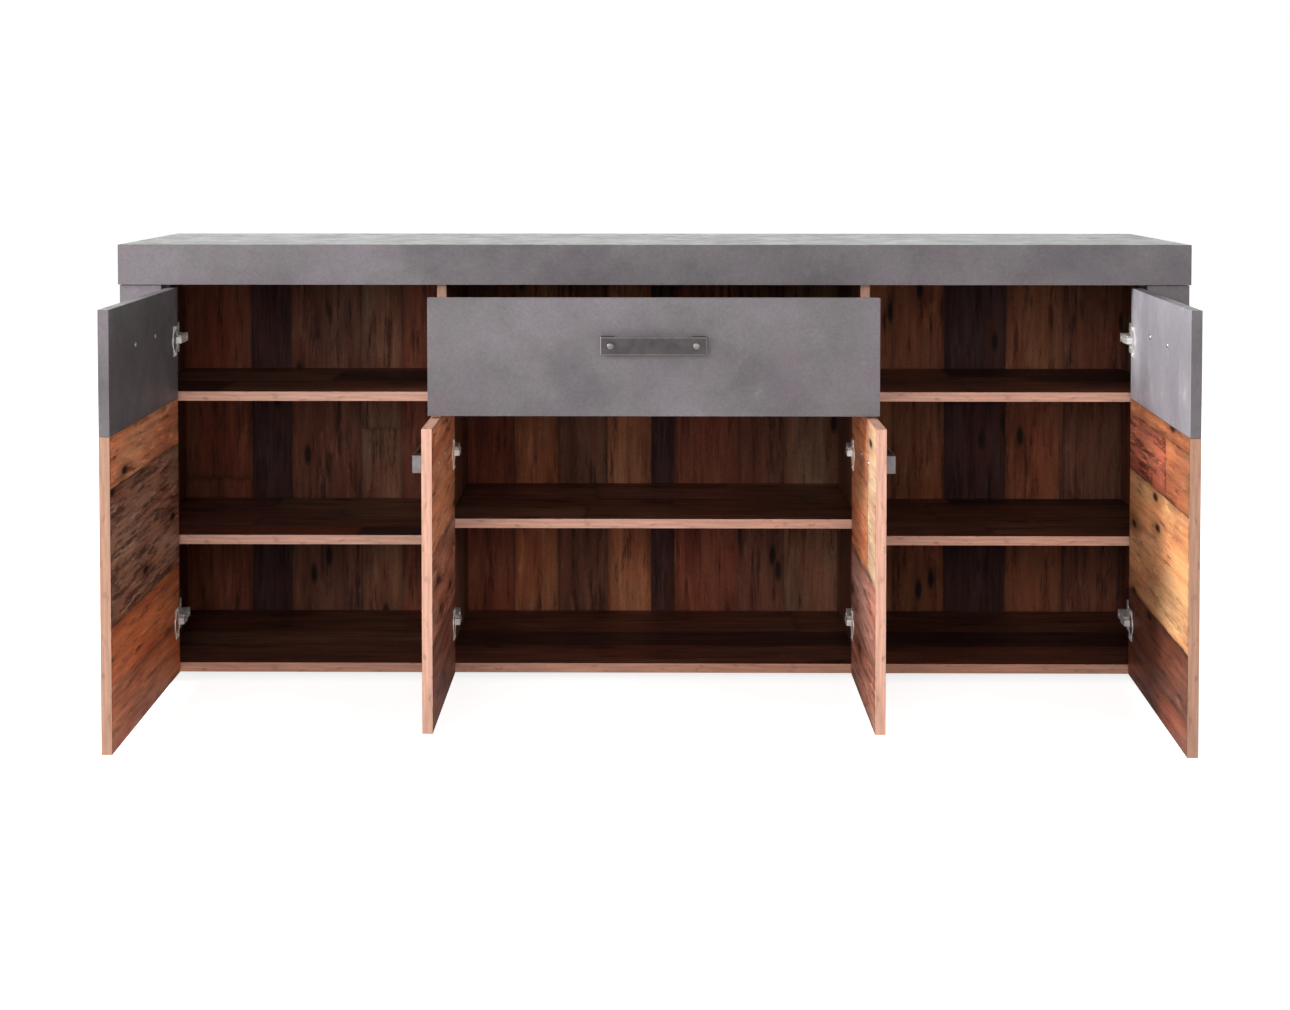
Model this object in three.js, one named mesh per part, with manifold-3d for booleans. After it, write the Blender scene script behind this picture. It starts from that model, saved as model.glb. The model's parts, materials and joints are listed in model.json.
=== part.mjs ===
// Sideboard with four doors and a drawer, in millimetres.
// +X is right seen from the front, the front faces -Y and +Z is up. The origin is on
// the floor under the middle glide. The doors stand open and the drawer is pulled out.
import * as THREE from 'three';
import { mergeVertices } from 'three/addons/utils/BufferGeometryUtils.js';
import Module from 'manifold-3d';

const wasm = await Module();
wasm.setup();

// Top slab and the box under it
const TOP_WIDTH = 1770;
const TOP_DEPTH = 420;
const TOP_THICKNESS = 67;
const BOX_HEIGHT = 650.5;
const TOP_OVERHANG = 2;
const FRONT_SETBACK = 23.5;
const REAR_SETBACK = 5;
const BOARD = 16;
const GLIDE_HEIGHT = 15;

// Front: stiles beside the outer doors, and the widths and heights of the openings
const STILE_WIDTH = 69;
const STILE_THICKNESS = 19;
const CENTER_BAY_WIDTH = 687;
const DRAWER_FRONT_HEIGHT = 183;
const DRAWER_BAY_HEIGHT = 182;
const OUTER_SHELF_RAISE = -15.75;
const CENTER_SHELF_RAISE = 12.25;
const SHELF_SETBACK = 22.5;
const BACK_THICKNESS = 3;
const BACK_INSET = 12;
const GROOVE_DEPTH = 6;

// Gaps around the doors and the drawer front
const DOOR_REVEAL = 4;
const OPEN_DOOR_GAP = 4.8;
const DRAWER_DOOR_GAP = 3.5;
const FRONT_TOP_GAP = 5;
const FRONT_BOTTOM_GAP = 1;
const HINGE_SIDE_LAP = 6;
const FIT = 0.3;

// How far the doors and the drawer stand open
const OUTER_DOOR_ANGLES = { left: 88.8, right: 86.8 };
const INNER_DOOR_ANGLES = { left: 90, right: 90 };
const DRAWER_TRAVEL = 216;

// Drawer box and its side runners
const DRAWER_BOX_DEPTH = 350;
const DRAWER_BOX_HEIGHT = 118;
const DRAWER_SIDE = 12;
const DRAWER_BASE = 3;
const DRAWER_BASE_LIFT = 12;
const RUNNER_SPACE = 12.5;
const RUNNER_HEIGHT = 36;
const RUNNER_STEEL = 1.2;
const RUNNER_CHANNEL = 8.2;
const RUNNER_LIP = 4;
const RUNNER_PLAY = 1;
const RUNNER_SETBACK = 4;
const RUNNER_LIFT = 30;

// Cup hinges
const CUP_RADIUS = 17.5;
const CUP_DEPTH = 13;
const CUP_WALL = 0.8;
const CUP_EDGE = 21.5;
const FLANGE_LENGTH = 50;
const FLANGE_WIDTH = 22;
const FLANGE_STEEL = 1.5;
const HINGE_END = 87.5;
const PIVOT_INSET = 12.5;
const PIVOT_DEPTH = 10.3;
const PIN_RADIUS = 1.4;
const HOOK_REACH = 19;
const HOOK_STEEL = 2;
const HOOK_HEIGHT = 10;
const ARM_HEIGHT = 14;
const ARM_WIDTH = 13;
const ARM_FRONT = 4;
const ARM_REAR = 58;
const PLATE_STEEL = 2.7;
const PLATE_LENGTH = 50;
const PLATE_FRONT = 25;
const PLATE_REAR = 50;
const TAB_HEIGHT = 80;
const TAB_DEPTH = 70;
const STRIP_DEPTH = 22;

// Bridge handles with two round bolt heads
const HANDLE_LENGTH = 164;
const SHORT_HANDLE_LENGTH = 128;
const HANDLE_HEIGHT = 28;
const HANDLE_REACH = 23.4;
const HANDLE_STRAP = 3.5;
const HANDLE_FOOT = 24;
const BOLT_RADIUS = 8;
const BOLT_HEAD = 2.4;
const BOLT_INSET = 16;
const DRAWER_HANDLE_DROP = 72;
const DOOR_HANDLE_DROP = 66;
const SHORT_HANDLE_START = 137;

// Floor glides
const GLIDE_RADIUS = 15;
const GLIDE_STEM = 9;
const GLIDE_PAD = 5;
const GLIDE_INSET_X = 90;
const GLIDE_INSET_Y = 95;

// The hinge axis, this far in from the edge of the door, and the gap that lets the edge swing
const pivotEdge = CUP_EDGE - PIVOT_INSET;
const doorBackGap = OPEN_DOOR_GAP + pivotEdge - PIVOT_DEPTH;

// Heights and planes that follow from the sizes above
const boxBottom = GLIDE_HEIGHT;
const boxTop = boxBottom + BOX_HEIGHT;
const slabTop = boxTop + TOP_THICKNESS;
const frontPlane = -TOP_DEPTH / 2 + FRONT_SETBACK;
const rearPlane = TOP_DEPTH / 2 - REAR_SETBACK;
const backFace = rearPlane - BACK_INSET - BACK_THICKNESS;
const boxHalf = TOP_WIDTH / 2 - TOP_OVERHANG;
const sideInner = boxHalf - BOARD;
const dividerInner = CENTER_BAY_WIDTH / 2;
const dividerOuter = dividerInner + BOARD;
const stileInner = boxHalf - STILE_WIDTH;
const floorTop = boxBottom + BOARD;
const deckTop = boxTop - DRAWER_BAY_HEIGHT;
const midShelf = (floorTop + deckTop - BOARD) / 2 + BOARD / 2;
const outerLowShelf = midShelf + OUTER_SHELF_RAISE;
const centerShelf = midShelf + CENTER_SHELF_RAISE;
const shelfFront = frontPlane + SHELF_SETBACK;

// Fronts: the outer doors and the drawer start at one height, the inner doors below it
const frontTop = boxTop - FRONT_TOP_GAP;
const frontBottom = boxBottom + FRONT_BOTTOM_GAP;
const splitHeight = frontTop - DRAWER_FRONT_HEIGHT;
const innerDoorTop = splitHeight - DRAWER_DOOR_GAP;
const outerHingeEdge = stileInner - DOOR_REVEAL;
const innerHingeEdge = dividerInner + HINGE_SIDE_LAP;
const outerFreeEdge = innerHingeEdge + DOOR_REVEAL;
const innerFreeEdge = DOOR_REVEAL / 2;
const closedInnerFace = frontPlane - doorBackGap;

const OLD_WOOD = { color: 0x9a6a48, roughness: 0.62, metalness: 0 };
const SLATE = { color: 0x7c777b, roughness: 0.5, metalness: 0 };
const STEEL = { color: 0xb9bcbf, roughness: 0.32, metalness: 1 };
const PEWTER = { color: 0x5d5957, roughness: 0.45, metalness: 1 };
const PLASTIC = { color: 0x2b2a2a, roughness: 0.6, metalness: 0 };
const LINER = { color: 0x6e4a36, roughness: 0.6, metalness: 0 };

const assembly = new THREE.Group();

function addPart(parent, name, geometry, look) {
  const mesh = new THREE.Mesh(geometry, new THREE.MeshStandardMaterial(look));
  mesh.name = name;
  parent.add(mesh);
}

function toSolid(geometry) {
  const bare = geometry.clone();
  for (const key of Object.keys(bare.attributes)) {
    if (key !== 'position') bare.deleteAttribute(key);
  }
  const merged = mergeVertices(bare, 1e-4);
  return new wasm.Manifold(new wasm.Mesh({
    numProp: 3,
    vertProperties: new Float32Array(merged.attributes.position.array),
    triVerts: new Uint32Array(merged.index.array),
  }));
}

function toGeometry(solid) {
  const mesh = solid.getMesh();
  const geometry = new THREE.BufferGeometry();
  geometry.setAttribute('position', new THREE.BufferAttribute(mesh.vertProperties, 3));
  geometry.setIndex(new THREE.BufferAttribute(mesh.triVerts, 1));
  geometry.computeVertexNormals();
  return geometry;
}

// A box between two corners
function block(x0, x1, y0, y1, z0, z1) {
  const geometry = new THREE.BoxGeometry(x1 - x0, y1 - y0, z1 - z0);
  geometry.translate((x0 + x1) / 2, (y0 + y1) / 2, (z0 + z1) / 2);
  return geometry;
}

// A cylinder along Y or Z
function rod(radius, length, axis, segments = 32) {
  const geometry = new THREE.CylinderGeometry(radius, radius, length, segments);
  if (axis === 'z') geometry.rotateX(Math.PI / 2);
  return geometry;
}

// An outline drawn in X and Z, run along Y from y0 to y1
function sectionAlongY(points, y0, y1) {
  const shape = new THREE.Shape(points.map(([x, z]) => new THREE.Vector2(x, z)));
  const geometry = new THREE.ExtrudeGeometry(shape, { depth: y1 - y0, bevelEnabled: false });
  geometry.rotateX(Math.PI / 2);
  geometry.translate(0, y1, 0);
  return geometry;
}

// The same shape for the left side, with its faces kept outward
function mirrored(geometry) {
  return toGeometry(toSolid(geometry).mirror([1, 0, 0]));
}

function addPair(name, geometry, look) {
  addPart(assembly, `${name}_right`, geometry, look);
  addPart(assembly, `${name}_left`, mirrored(geometry), look);
}

// Slab: a thin board mitred into a deep edge frame, and a lid that closes the box under it
function buildTop() {
  const half = TOP_WIDTH / 2;
  const depth = TOP_DEPTH / 2;
  const wedge = (gap) => {
    const lower = [half - BOARD - gap, depth - BOARD - gap];
    const upper = [half - gap, depth - gap];
    const z0 = slabTop - BOARD;
    const geometry = new THREE.BoxGeometry(2, 2, 2);
    const at = geometry.attributes.position;
    for (let i = 0; i < at.count; i += 1) {
      const [x, y] = at.getZ(i) > 0 ? upper : lower;
      at.setXYZ(i, at.getX(i) * x, at.getY(i) * y, at.getZ(i) > 0 ? slabTop : z0);
    }
    return toSolid(geometry);
  };
  addPart(assembly, 'top_board', toGeometry(wedge(2 * FIT)), SLATE);
  const inner = block(BOARD - half, half - BOARD, BOARD - depth, depth - BOARD, 0, slabTop);
  const frame = toSolid(block(-half, half, -depth, depth, boxTop, slabTop))
    .subtract(toSolid(inner))
    .subtract(wedge(FIT));
  addPart(assembly, 'top_frame', toGeometry(frame), SLATE);
  const lidX = half - BOARD - FIT;
  const lidY = depth - BOARD - FIT;
  addPart(assembly, 'carcass_lid', block(-lidX, lidX, -lidY, lidY, boxTop, boxTop + BOARD), OLD_WOOD);
}

// Box: sides and bottom grooved for the back panel, dividers in front of it
function buildBox() {
  const z0 = boxBottom;
  const z1 = boxTop - FIT;
  const grooveFront = backFace - FIT;
  const grooveRear = backFace + BACK_THICKNESS + FIT;
  const grooveX = sideInner + GROOVE_DEPTH;
  const side = toSolid(block(sideInner, boxHalf, frontPlane, rearPlane, z0, z1))
    .subtract(toSolid(block(sideInner - 1, grooveX, grooveFront, grooveRear, z0 - 1, z1 + 1)));
  addPair('side_panel', toGeometry(side), OLD_WOOD);
  const divider = block(dividerInner, dividerOuter, frontPlane, backFace - FIT, floorTop + FIT, z1);
  addPair('divider', divider, OLD_WOOD);
  const floorX = sideInner - FIT;
  const grooveZ = floorTop - GROOVE_DEPTH;
  const floor = toSolid(block(-floorX, floorX, frontPlane, rearPlane, z0, floorTop))
    .subtract(toSolid(block(-floorX - 1, floorX + 1, grooveFront, grooveRear, grooveZ, floorTop + 1)));
  addPart(assembly, 'bottom_panel', toGeometry(floor), OLD_WOOD);
  const backX = grooveX - FIT;
  const backRear = backFace + BACK_THICKNESS;
  addPart(assembly, 'back_panel', block(-backX, backX, backFace, backRear, grooveZ + FIT, z1), OLD_WOOD);
}

// Wide front stiles, with a shallow strip behind each that carries the door hinges
function buildStiles(hingeHeights) {
  const y1 = frontPlane - FIT;
  const top = boxTop - FIT;
  addPair('front_stile', block(stileInner, boxHalf, y1 - STILE_THICKNESS, y1, boxBottom, top), SLATE);
  const x0 = outerHingeEdge - HINGE_SIDE_LAP;
  const x1 = x0 + BOARD;
  const tabRear = frontPlane + TAB_DEPTH;
  const half = TAB_HEIGHT / 2;
  let strip = toSolid(block(x0, x1, frontPlane, frontPlane + STRIP_DEPTH, floorTop + FIT, top));
  for (const z of hingeHeights) {
    strip = strip.add(toSolid(block(x0, x1, frontPlane, tabRear, z - half, z + half)));
  }
  addPair('hinge_strip', toGeometry(strip), OLD_WOOD);
}

// Shelves, and the deck that the drawer runs over
function buildShelves() {
  const y1 = backFace - FIT;
  const outer = (top) => block(dividerOuter + FIT, sideInner - FIT, shelfFront, y1, top - BOARD, top);
  addPair('shelf_upper', outer(deckTop), OLD_WOOD);
  addPair('shelf_lower', outer(outerLowShelf), OLD_WOOD);
  const x = dividerInner - FIT;
  addPart(assembly, 'drawer_deck', block(-x, x, frontPlane, y1, deckTop - BOARD, deckTop), OLD_WOOD);
  addPart(assembly, 'shelf_center', block(-x, x, shelfFront, y1, centerShelf - BOARD, centerShelf), OLD_WOOD);
}

// Plastic glides: a wide pad with a narrower stem up to the bottom panel
function buildGlides() {
  const x = TOP_WIDTH / 2 - GLIDE_INSET_X;
  const y = TOP_DEPTH / 2 - GLIDE_INSET_Y;
  const top = boxBottom - FIT;
  const profile = [[0, 0], [GLIDE_RADIUS - 1, 0], [GLIDE_RADIUS, 1], [GLIDE_RADIUS, GLIDE_PAD],
    [GLIDE_STEM, GLIDE_PAD + 3], [GLIDE_STEM, top], [0, top]];
  const places = {
    front_left: [-x, -y],
    front_right: [x, -y],
    rear_left: [-x, y],
    rear_right: [x, y],
    center: [0, 0],
  };
  for (const [name, [gx, gy]] of Object.entries(places)) {
    const geometry = new THREE.LatheGeometry(profile.map(([r, z]) => new THREE.Vector2(r, z)), 32);
    geometry.rotateX(Math.PI / 2);
    geometry.translate(gx, gy, 0);
    addPart(assembly, `glide_${name}`, geometry, PLASTIC);
  }
}

// Bridge handle: two feet and a strap across them, along X, its feet against y = 0
function handleSolid(length) {
  const half = length / 2;
  const strapY = -HANDLE_REACH + HANDLE_STRAP;
  const z = HANDLE_HEIGHT / 2;
  const bolt = (x) => {
    const head = rod(BOLT_RADIUS, BOLT_HEAD, 'y');
    head.translate(x, -HANDLE_REACH - BOLT_HEAD / 2 + 0.1, 0);
    return toSolid(head);
  };
  return toSolid(block(-half, half, -HANDLE_REACH, 0, -z, z))
    .subtract(toSolid(block(HANDLE_FOOT - half, half - HANDLE_FOOT, strapY, 1, -z - 1, z + 1)))
    .add(bolt(BOLT_INSET - half))
    .add(bolt(half - BOLT_INSET));
}

// Hinge cup and flange on the door, about the cup's centre, the board's face at y = 0
function cupSolid() {
  const wallHeight = CUP_DEPTH + FLANGE_STEEL;
  const cup = rod(CUP_RADIUS, wallHeight, 'y');
  cup.translate(0, FLANGE_STEEL - wallHeight / 2, 0);
  const hollow = rod(CUP_RADIUS - CUP_WALL, wallHeight, 'y');
  hollow.translate(0, FLANGE_STEEL - wallHeight / 2 + CUP_WALL, 0);
  const z = FLANGE_LENGTH / 2;
  const x = FLANGE_WIDTH / 2;
  return toSolid(cup)
    .add(toSolid(block(-x, x, FIT, FLANGE_STEEL, -z, z)))
    .subtract(toSolid(hollow));
}

// Hinge arm on the cabinet side, for a door whose hinge edge is at x = edge
function armSolid(edge, z) {
  const pivotX = edge - pivotEdge;
  const pivotY = closedInnerFace - PIVOT_DEPTH;
  const reachX = pivotX - HOOK_REACH;
  const hookY = pivotY - PIN_RADIUS;
  const pin = rod(PIN_RADIUS, HOOK_HEIGHT, 'z', 16);
  pin.translate(pivotX, pivotY, z);
  const bar = (x0, x1, y0, y1, height) => toSolid(block(x0, x1, y0, y1, z - height / 2, z + height / 2));
  const wall = edge - HINGE_SIDE_LAP;
  const plateX = wall - FIT - PLATE_STEEL;
  const neckY = frontPlane + ARM_FRONT;
  return toSolid(pin)
    .add(bar(reachX, pivotX, hookY, hookY + HOOK_STEEL, HOOK_HEIGHT))
    .add(bar(reachX, reachX + HOOK_STEEL, hookY, neckY + 10, HOOK_HEIGHT))
    .add(bar(reachX, plateX + 0.1, neckY + 4, neckY + 10, HOOK_HEIGHT))
    .add(bar(plateX - ARM_WIDTH, plateX + 0.1, neckY, frontPlane + ARM_REAR, ARM_HEIGHT))
    .add(bar(plateX, wall - FIT, frontPlane + PLATE_FRONT, frontPlane + PLATE_REAR, PLATE_LENGTH));
}

// A hinged door, drawn closed on the right side and then turned about its hinge axis.
// `boards` holds a name, lower and upper height and look for each board.
function buildDoor(prefix, hingeEdge, freeEdge, boards, angles, handle) {
  const pivotX = hingeEdge - pivotEdge;
  const pivotY = closedInnerFace - PIVOT_DEPTH;
  const outerFace = closedInnerFace - BOARD;
  const low = boards[0].z0;
  const high = boards[boards.length - 1].z1;
  const cupX = hingeEdge - CUP_EDGE;
  const heights = [low + HINGE_END, high - HINGE_END];
  const pieces = [];
  for (const { name, z0, z1, look } of boards) {
    let board = toSolid(block(freeEdge, hingeEdge, outerFace, closedInnerFace, z0, z1));
    for (const z of heights) {
      const pocket = rod(CUP_RADIUS + FIT, CUP_DEPTH + FIT + 5, 'y');
      pocket.translate(cupX, closedInnerFace + (5 - CUP_DEPTH - FIT) / 2, z);
      board = board.subtract(toSolid(pocket));
    }
    pieces.push({ name, solid: board, look });
  }
  heights.forEach((z, i) => {
    const cup = cupSolid().translate([cupX, closedInnerFace, z]);
    pieces.push({ name: `hinge_cup_${prefix}_${i ? 'top' : 'bottom'}`, solid: cup, look: STEEL });
  });
  const grip = handleSolid(handle.length).translate([handle.x, outerFace - FIT, high - DOOR_HANDLE_DROP]);
  pieces.push({ name: `handle_${prefix}`, solid: grip, look: PEWTER });
  for (const side of ['right', 'left']) {
    const door = new THREE.Group();
    const sign = side === 'right' ? 1 : -1;
    door.position.set(sign * pivotX, pivotY, 0);
    door.rotation.z = THREE.MathUtils.degToRad(sign * angles[side]);
    assembly.add(door);
    for (const { name, solid, look } of pieces) {
      const placed = solid.translate([-pivotX, -pivotY, 0]);
      const shape = sign > 0 ? placed : placed.mirror([1, 0, 0]);
      addPart(door, `${name}_${side}`, toGeometry(shape), look);
    }
  }
  heights.forEach((z, i) => {
    addPair(`hinge_arm_${prefix}_${i ? 'top' : 'bottom'}`, toGeometry(armSolid(hingeEdge, z)), STEEL);
  });
  return heights;
}

function buildOuterDoors() {
  const boards = [
    { name: 'outer_door_lower', z0: frontBottom, z1: splitHeight - FIT, look: OLD_WOOD },
    { name: 'outer_door_upper', z0: splitHeight, z1: frontTop, look: SLATE },
  ];
  const handle = { length: HANDLE_LENGTH, x: (outerHingeEdge + outerFreeEdge) / 2 };
  return buildDoor('outer', outerHingeEdge, outerFreeEdge, boards, OUTER_DOOR_ANGLES, handle);
}

function buildInnerDoors() {
  const boards = [{ name: 'inner_door', z0: frontBottom, z1: innerDoorTop, look: OLD_WOOD }];
  const x = innerHingeEdge - SHORT_HANDLE_START - SHORT_HANDLE_LENGTH / 2;
  const handle = { length: SHORT_HANDLE_LENGTH, x };
  buildDoor('inner', innerHingeEdge, innerFreeEdge, boards, INNER_DOOR_ANGLES, handle);
}

// Drawer box behind its front, on a pair of side runners, pulled out by DRAWER_TRAVEL
function buildDrawer() {
  const drawer = new THREE.Group();
  drawer.position.y = -DRAWER_TRAVEL;
  assembly.add(drawer);
  const outer = closedInnerFace - BOARD;
  const half = innerHingeEdge;
  const boxX = dividerInner - RUNNER_SPACE;
  const innerX = boxX - DRAWER_SIDE;
  const y0 = closedInnerFace + FIT;
  const y1 = y0 + DRAWER_BOX_DEPTH;
  const z0 = deckTop + DRAWER_BASE_LIFT;
  const z1 = z0 + DRAWER_BOX_HEIGHT;
  const baseZ = z0 + DRAWER_BASE_LIFT;
  const grooveX = innerX + GROOVE_DEPTH;
  const baseTop = baseZ + DRAWER_BASE + FIT;
  const cut = toSolid(block(-grooveX, grooveX, closedInnerFace - GROOVE_DEPTH, y1 + 1, baseZ - FIT, baseTop));
  const front = toSolid(block(-half, half, outer, closedInnerFace, splitHeight, frontTop)).subtract(cut);
  addPart(drawer, 'drawer_front', toGeometry(front), SLATE);
  const side = toSolid(block(innerX, boxX, y0, y1, z0, z1)).subtract(cut);
  addPart(drawer, 'drawer_side_right', toGeometry(side), LINER);
  addPart(drawer, 'drawer_side_left', toGeometry(side.mirror([1, 0, 0])), LINER);
  const backX = innerX - FIT;
  addPart(drawer, 'drawer_back', block(-backX, backX, y1 - DRAWER_SIDE, y1, baseTop, z1), LINER);
  const baseX = grooveX - FIT;
  const baseY = closedInnerFace - GROOVE_DEPTH + FIT;
  addPart(drawer, 'drawer_base', block(-baseX, baseX, baseY, y1, baseZ, baseZ + DRAWER_BASE), LINER);
  const grip = handleSolid(HANDLE_LENGTH).translate([0, outer - FIT, frontTop - DRAWER_HANDLE_DROP]);
  addPart(drawer, 'handle_drawer', toGeometry(grip), PEWTER);
  buildRunners(drawer, boxX, z0 + RUNNER_LIFT, y0 + RUNNER_SETBACK, y1);
}

// Runners: a steel channel on each divider, and a folded rail on the drawer side inside it
function buildRunners(drawer, boxX, z0, y0, y1) {
  const t = RUNNER_STEEL;
  const z1 = z0 + RUNNER_HEIGHT;
  const wall = dividerInner - FIT;
  const lip = wall - RUNNER_CHANNEL;
  const channel = [[wall, z0], [wall, z1], [lip, z1], [lip, z1 - RUNNER_LIP], [lip + t, z1 - RUNNER_LIP],
    [lip + t, z1 - t], [wall - t, z1 - t], [wall - t, z0 + t], [lip + t, z0 + t],
    [lip + t, z0 + RUNNER_LIP], [lip, z0 + RUNNER_LIP], [lip, z0]];
  addPair('cabinet_runner', sectionAlongY(channel, frontPlane + RUNNER_SETBACK, y1), STEEL);
  const play = t + RUNNER_PLAY;
  const face = boxX + FIT;
  const web = wall - play - t;
  const low = z0 + RUNNER_LIP + RUNNER_PLAY;
  const high = z1 - RUNNER_LIP - RUNNER_PLAY;
  const rail = [[face, low], [web, low], [web, z0 + play], [web + t, z0 + play], [web + t, z1 - play],
    [web, z1 - play], [web, high], [face, high], [face, high - t], [web, high - t], [web, low + t],
    [face, low + t]];
  const moving = sectionAlongY(rail, y0, y1);
  addPart(drawer, 'drawer_runner_right', moving, STEEL);
  addPart(drawer, 'drawer_runner_left', mirrored(moving), STEEL);
}

buildTop();
buildBox();
buildStiles(buildOuterDoors());
buildShelves();
buildGlides();
buildInnerDoors();
buildDrawer();

export default assembly;
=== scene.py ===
"""A long low sideboard with stone-grey boards and printed old-plank boards, doors and drawer open."""
import json
import math
import random

import bmesh
import bpy
from mathutils import Matrix, Vector


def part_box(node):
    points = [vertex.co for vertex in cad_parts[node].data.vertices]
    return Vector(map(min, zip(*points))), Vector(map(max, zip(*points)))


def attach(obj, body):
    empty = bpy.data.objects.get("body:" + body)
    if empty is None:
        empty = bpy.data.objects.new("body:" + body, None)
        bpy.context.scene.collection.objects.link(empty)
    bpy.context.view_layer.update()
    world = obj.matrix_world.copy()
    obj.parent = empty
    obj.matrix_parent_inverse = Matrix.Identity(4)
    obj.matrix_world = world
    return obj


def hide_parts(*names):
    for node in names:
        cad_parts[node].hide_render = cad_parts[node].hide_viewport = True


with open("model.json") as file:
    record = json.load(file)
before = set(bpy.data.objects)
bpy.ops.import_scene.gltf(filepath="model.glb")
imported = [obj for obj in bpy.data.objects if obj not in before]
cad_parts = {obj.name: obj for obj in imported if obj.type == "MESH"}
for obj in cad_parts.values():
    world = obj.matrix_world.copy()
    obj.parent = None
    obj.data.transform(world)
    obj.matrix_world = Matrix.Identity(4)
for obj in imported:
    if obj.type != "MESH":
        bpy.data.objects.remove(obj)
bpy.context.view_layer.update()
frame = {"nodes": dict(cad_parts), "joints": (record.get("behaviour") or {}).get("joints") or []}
MM = 0.001

# --- Studio: camera, lights and floor --------------------------------------------------
# A view from the front, a little above the top, with the lens shifted so that the sides
# stay upright. A broad soft key stands on the left, weaker fills in front and on the
# right, and a long light behind shines along the top. The floor is plain white paper.
scene = bpy.context.scene
scene.view_settings.view_transform = "Standard"

lens = bpy.data.cameras.new("studio_camera")
lens.sensor_width = 36.0
lens.lens = 55.4
lens.shift_x = 0.0117
lens.shift_y = -0.2243
lens.clip_end = 200
camera = bpy.data.objects.new("studio_camera", lens)
camera.location = (-0.0083, -3.4764, 0.8945)
camera.rotation_euler = (math.radians(88.0), 0, math.radians(0.53))
scene.collection.objects.link(camera)
scene.camera = camera


def area_light(name, place, aim, width, height, power, tint=(1, 1, 1)):
    """A soft rectangular lamp, in metres and watts, that the camera doesn't see."""
    data = bpy.data.lights.new(name, "AREA")
    data.shape = "RECTANGLE"
    data.size = width
    data.size_y = height
    data.energy = power
    data.color = tint
    light = bpy.data.objects.new(name, data)
    light.location = place
    light.rotation_euler = (Vector(aim) - Vector(place)).to_track_quat("-Z", "Y").to_euler()
    light.visible_camera = False
    scene.collection.objects.link(light)


area_light("key_left", place=(-4.2, -0.95, 2.1), aim=(0.5, -0.5, 0.4), width=1.7, height=2.0, power=330)
area_light("fill_front", place=(-0.9, -5.0, 1.6), aim=(0, -0.2, 0.4), width=3.2, height=1.6, power=92)
area_light("fill_right", place=(3.2, -3.6, 1.8), aim=(-0.4, -0.3, 0.4), width=2.0, height=2.0, power=36)
area_light("glow_behind", place=(0, 3.4, 1.5), aim=(0, 0, 0.7), width=6.0, height=1.8, power=66,
           tint=(0.93, 1.0, 0.95))


def linear(colour):
    """Scene-linear RGBA of an sRGB hex colour."""
    parts = [int(colour[i:i + 2], 16) / 255 for i in (1, 3, 5)]
    return (*(c / 12.92 if c < 0.04045 else ((c + 0.055) / 1.055) ** 2.4 for c in parts), 1.0)


def add(tree, kind, inputs=None, stops=(), **settings):
    """Adds a node with its settings, sets or links its inputs, and sets a ramp's colour stops."""
    made = tree.nodes.new(kind)
    for key, value in settings.items():
        setattr(made, key, value)
    for key, value in (inputs or {}).items():
        if isinstance(value, bpy.types.Node):
            value = value.outputs[0]
        if isinstance(value, bpy.types.NodeSocket):
            tree.links.new(value, made.inputs[key])
        else:
            made.inputs[key].default_value = value
    for number, (spot, colour) in enumerate(stops):
        ramp = made.color_ramp.elements
        stop = ramp[number] if number < len(ramp) else ramp.new(spot)
        stop.position = spot
        stop.color = linear(colour)
    return made


# The sky lights the room weakly, and the camera sees it plain white
SKY_LIGHT = 0.25
world = bpy.data.worlds.new("studio_world")
scene.world = world
world.use_nodes = True
sky = world.node_tree
sky.nodes.clear()
seen = add(sky, "ShaderNodeLightPath")
strength = add(sky, "ShaderNodeMapRange", {"Value": seen.outputs["Is Camera Ray"], "To Min": SKY_LIGHT})
sky_colour = add(sky, "ShaderNodeBackground", {"Color": (1, 1, 1, 1), "Strength": strength})
add(sky, "ShaderNodeOutputWorld", {"Surface": sky_colour})


def new_material(name):
    """A material, its node tree and its shader."""
    made = bpy.data.materials.new(name)
    made.use_nodes = True
    return made, made.node_tree, made.node_tree.nodes["Principled BSDF"]


def link_object(name, mesh):
    """An object of a mesh, in the scene."""
    made = bpy.data.objects.new(name, mesh)
    scene.collection.objects.link(made)
    return made


# Matt paper, lit a little from within for the camera so that it runs into the white sky
FLOOR_REACH = 30.0
FLOOR_GLOW = 0.8
floor_finish, floor_tree, floor_shader = new_material("matt_white_paper")
floor_shader.inputs["Base Color"].default_value = linear("#f4f4f4")
floor_shader.inputs["Roughness"].default_value = 0.9
floor_shader.inputs["Emission Color"].default_value = (1, 1, 1, 1)
floor_seen = add(floor_tree, "ShaderNodeLightPath")
glow = add(floor_tree, "ShaderNodeMath", {0: floor_seen.outputs["Is Camera Ray"], 1: FLOOR_GLOW},
           operation="MULTIPLY")
floor_tree.links.new(glow.outputs[0], floor_shader.inputs["Emission Strength"])
floor_mesh = bpy.data.meshes.new("floor")
corners = [(x, y, 0) for x, y in ((-1, -1), (1, -1), (1, 1), (-1, 1))]
floor_mesh.from_pydata([Vector(c) * FLOOR_REACH for c in corners], [], [(0, 1, 2, 3)])
floor_mesh.materials.append(floor_finish)
link_object("floor", floor_mesh)


# --- Slab ------------------------------------------------------------------------------
# The thick top: a thin board mitred into a deep edge frame, so it reads as one slab. It is
# chipboard under a matt stone-grey print, clouded in mauve and green-grey with pale scuffs.
SLAB_BOARD = 16 * MM
SLAB_EASED = 1.0 * MM


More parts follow.
